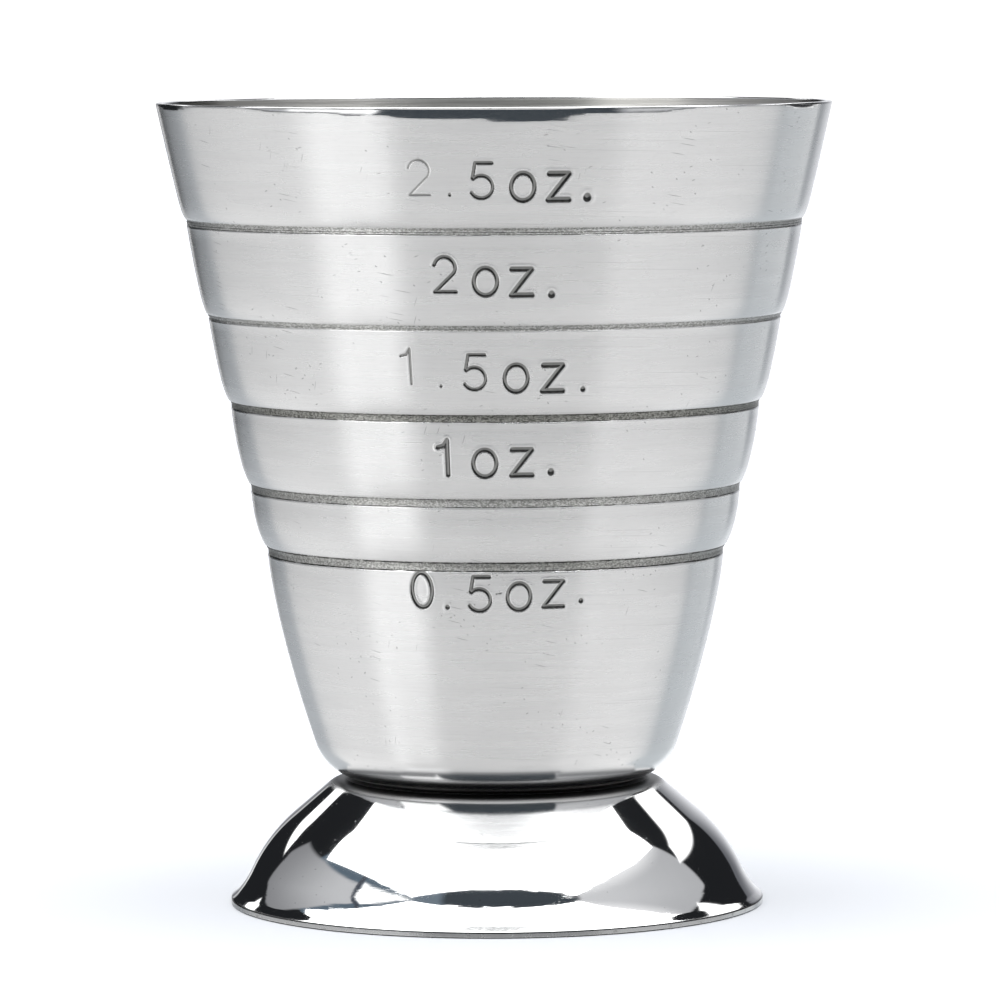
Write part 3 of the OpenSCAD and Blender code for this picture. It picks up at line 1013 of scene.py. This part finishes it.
ROOM = (0.60, 0.605, 0.615)
TABLE = (0.97,) * 3
BLACK = (0.014, 0.015, 0.017)
SLATE = (0.050, 0.060, 0.070)
WHITE = (2.4,) * 3
CARDS = {
    "behind_camera": Card(((-48, -7), (43, -7), (46, 40), (40, 60), (-40, 60), (-48, 40)), 2, SLATE),
    "blue_haze": Card(((-49, 37), (-30, 37), (-31, 52), (-49, 50)), 3, (0.16, 0.20, 0.24)),
    "right_fill": Card(((45, -7), (119, -7), (119, 46), (60, 56), (45, 52)), 2, (0.64, 0.645, 0.66),
                       (0.47, 0.475, 0.49), (50, 125)),
    "right_glow": Card(block(46, 119, 43, 58), 5, (0.95, 0.95, 0.96)),
    "left_gap_high": Card(((-186, 14), (-112, 14), (-108, 62), (-186, 62)), 1, BLACK),
    "left_ledge": Card(((-118, 30), (-78, 34), (-48, 40), (-48, 54), (-116, 54)), 1, (0.11, 0.15, 0.19)),
    "left_fill": Card(((-137.5, -6), (-77, -6), (-80.5, 38.5), (-113, 35.5), (-135, 29.4), (-137.5, 22)), 1,
                      (0.25, 0.253, 0.265), (0.58, 0.585, 0.60), (-142, -82)),
    "left_seam": Card(((-78, 28), (-75.5, 28), (-81, 46), (-84, 46)), 0.6, (0.07, 0.08, 0.10)),
    "left_strip": Card(((-76, 28), (-46, 28), (-46, 38.5), (-54, 39), (-78, 40)), 1, (1.6,) * 3),
    "key_high": Card(((-75, -2), (-44, -2), (-33, 30), (-72, 30)), 2, (1.6,) * 3),
    "horizon_left": Card(block(-140, -44, -13, 6), 2, (0.18, 0.185, 0.19)),
    "horizon_front": Card(block(-50, 48, -13, -5), 2, (0.20, 0.205, 0.21)),
    "horizon_right": Card(block(44, 118, -13, 6), 2, (0.19, 0.195, 0.20)),
    "left_gap_low": Card(((-164, -8), (-137, -8), (-137, 20), (-168, 20)), 1, BLACK),
    "left_dim": Card(block(-186, -168, -12, 18), 1, (0.15, 0.155, 0.17)),
    "backdrop_left": Card(block(-200, -174, -12, 16), 6, (0.95, 0.96, 1.0)),
    "right_gap_high": Card(((118, 30.5), (190, 30), (190, 60), (118, 60)), 1, BLACK),
    "right_dim": Card(block(147, 190, -12, 34), 1, (0.13, 0.135, 0.15)),
    "backdrop_right": Card(block(165, 200, -12, 30), 14, (0.95, 0.96, 1.0)),
    "right_gap_low": Card(((118, 0), (146, 0), (156, 19), (156, 32), (118, 31)), 1, BLACK),
    "right_back_strip": Card(((117, 31.2), (152, 22.2), (168, 20), (154, 29), (140, 37), (124, 36)), 1,
                             WHITE),
    "left_back_strip": Card(((-167, 17.8), (-141, 18.2), (-144, 21.8), (-151, 24.8), (-156, 26.5)), 0.8,
                            WHITE),
    # painted shadow: the table close under the object, darker as the object's shadow on it, since the steel
    # doesn't see the real floor
    "table_in_object_shadow": Card(block(-200, 200, -95, -45), 12, (0.62,) * 3),
    "table_right": Card(block(48, 118, -48, -8), 8, (0.99,) * 3),
    "table_left": Card(block(-137, -74, -48, -8), 5, (0.97,) * 3),
    "key_low": Card(block(-71, -37, -36, -12), 8, (1.45,) * 3),
    "key_foot": Card(block(-66, -37, -80, -36), 9, (0.62,) * 3),
    "left_shade": Card(block(-190, -137, -62, -8), 1.5, (0.57, 0.60, 0.63)),
    "right_shade": Card(block(118, 190, -62, -8), 1.2, (0.60, 0.64, 0.67)),
    "left_rim_light": Card(block(-205, -172, -62, -8), 9, (1.15, 1.18, 1.22)),
    "right_rim_light": Card(block(161, 205, -62, -8), 12, (1.15, 1.18, 1.22)),
}
# The light box overhead: its corners in the plane one unit above the object, right and back.
BOX = ((-0.87, -0.82), (0.80, -0.82), (0.98, 0.05), (0.965, 0.49), (-0.70, 0.655), (-1.24, 0.54))
BOX_SOFT = 0.015
BOX_LIGHT = (5.0,) * 3


def patch_mask(g, place, corners, soft):
    """1 inside a convex patch of the plane, 0 outside it, soft at its edge. The corners run
    anticlockwise, and place holds a point of the plane and a 1."""
    inside = None
    for (x0, y0), (x1, y1) in zip(corners, corners[1:] + corners[:1]):
        length = math.hypot(x1 - x0, y1 - y0)
        edge = Vector((y0 - y1, x1 - x0, x0 * y1 - x1 * y0)) / length
        depth = g.vector("DOT_PRODUCT", place, edge)
        inside = depth if inside is None else g.math("MINIMUM", inside, depth)
    return g.ramp(inside, -soft, soft)


def make_world():
    """The studio by direction, and plain white behind the object for the camera."""
    world = bpy.data.worlds.new("studio")
    bpy.context.scene.world = world
    world.use_nodes = True
    g = Graph(world.node_tree)
    parts = g.node("SeparateXYZ")
    g.feed(parts.inputs[0], g.node("TexCoord").outputs["Generated"])
    azimuth = g.math("ARCTAN2", parts.outputs[0], g.times(parts.outputs[1], -1.0))
    place = g.node("CombineXYZ")
    turned = g.times(azimuth, 180 / math.pi)
    g.feed(place.inputs[0], turned)
    g.feed(place.inputs[1], g.times(g.math("ARCSINE", parts.outputs[2]), 180 / math.pi))
    place.inputs[2].default_value = 1.0
    colour = g.mix(g.ramp(parts.outputs[2], -0.05, 0.05), TABLE + (1,), ROOM + (1,))
    for card in CARDS.values():
        mask = patch_mask(g, place.outputs[0], card.corners, card.soft)
        shade = card.colour + (1,)
        if card.end:
            shade = g.mix(g.ramp(turned, *card.span), shade, card.end + (1,))
        colour = g.mix(mask, colour, shade)
    above = g.node("CombineXYZ")
    for axis in (0, 1):
        g.feed(above.inputs[axis], g.math("DIVIDE", parts.outputs[axis], parts.outputs[2]))
    above.inputs[2].default_value = 1.0
    mask = patch_mask(g, above.outputs[0], BOX, BOX_SOFT)
    mask = g.times(mask, g.math("GREATER_THAN", parts.outputs[2], 0.0))
    colour = g.mix(mask, colour, BOX_LIGHT + (1,))
    studio = g.node("Background")
    g.feed(studio.inputs["Color"], colour)
    plain = g.node("Background")
    plain.inputs["Color"].default_value = (1, 1, 1, 1)
    plain.inputs["Strength"].default_value = 1.2
    choice = g.node("MixShader")
    g.feed(choice.inputs[0], g.node("LightPath").outputs["Is Camera Ray"])
    g.feed(choice.inputs[1], studio.outputs[0])
    g.feed(choice.inputs[2], plain.outputs[0])
    out = g.node("OutputWorld")
    g.feed(out.inputs["Surface"], choice.outputs[0])


def make_floor():
    """A plain pale table, which the steel sees as part of the studio instead."""
    half = 3.0
    mesh = bpy.data.meshes.new("floor")
    mesh.from_pydata([(-half, -half, 0), (half, -half, 0), (half, half, 0), (-half, half, 0)],
                     [], [(0, 1, 2, 3)])
    floor = bpy.data.objects.new("floor", mesh)
    floor.location.z = cad_low.z - 0.02 * MM
    bpy.context.scene.collection.objects.link(floor)
    floor.visible_glossy = False
    material = bpy.data.materials.new("white_table")
    material.use_nodes = True
    shader = material.node_tree.nodes["Principled BSDF"]
    shader.inputs["Base Color"].default_value = (0.345, 0.355, 0.375, 1)
    shader.inputs["Roughness"].default_value = 0.9
    shader.inputs["Specular IOR Level"].default_value = 0.0
    mesh.materials.append(material)


def make_light():
    """A broad soft light overhead, which lights the table."""
    light = bpy.data.lights.new("overhead", "SUN")
    light.energy = 3.4
    light.angle = math.radians(110)
    lamp = bpy.data.objects.new("overhead", light)
    lamp.visible_glossy = False
    bpy.context.scene.collection.objects.link(lamp)


# The camera: how far it stands from the axis and how high above the table, how far it looks
# down, how far it is turned and rolled, and its lens on a 36 mm sensor.
CAMERA_AWAY = 533.3 * MM
CAMERA_UP = 75.75 * MM
CAMERA_DOWN = math.radians(4.524)
CAMERA_TURN = math.radians(-0.04)
CAMERA_ROLL = math.radians(-0.23)
CAMERA_LENS = 231.26


def make_camera():
    data = bpy.data.cameras.new("camera")
    data.sensor_width = 36.0
    data.lens = CAMERA_LENS
    data.clip_start = 0.01
    data.clip_end = 20.0
    camera = bpy.data.objects.new("camera", data)
    turn = Matrix.Rotation(CAMERA_TURN, 4, "Z")
    tip = Matrix.Rotation(math.pi / 2 - CAMERA_DOWN, 4, "X")
    roll = Matrix.Rotation(CAMERA_ROLL, 4, "Z")
    place = Matrix.Translation((0, -CAMERA_AWAY, CAMERA_UP))
    camera.matrix_world = place @ turn @ tip @ roll
    bpy.context.scene.collection.objects.link(camera)
    bpy.context.scene.camera = camera


make_camera()
make_cup()
make_foot()
finish_welds()
make_world()
make_floor()
make_light()
bpy.context.scene.view_settings.view_transform = "Standard"
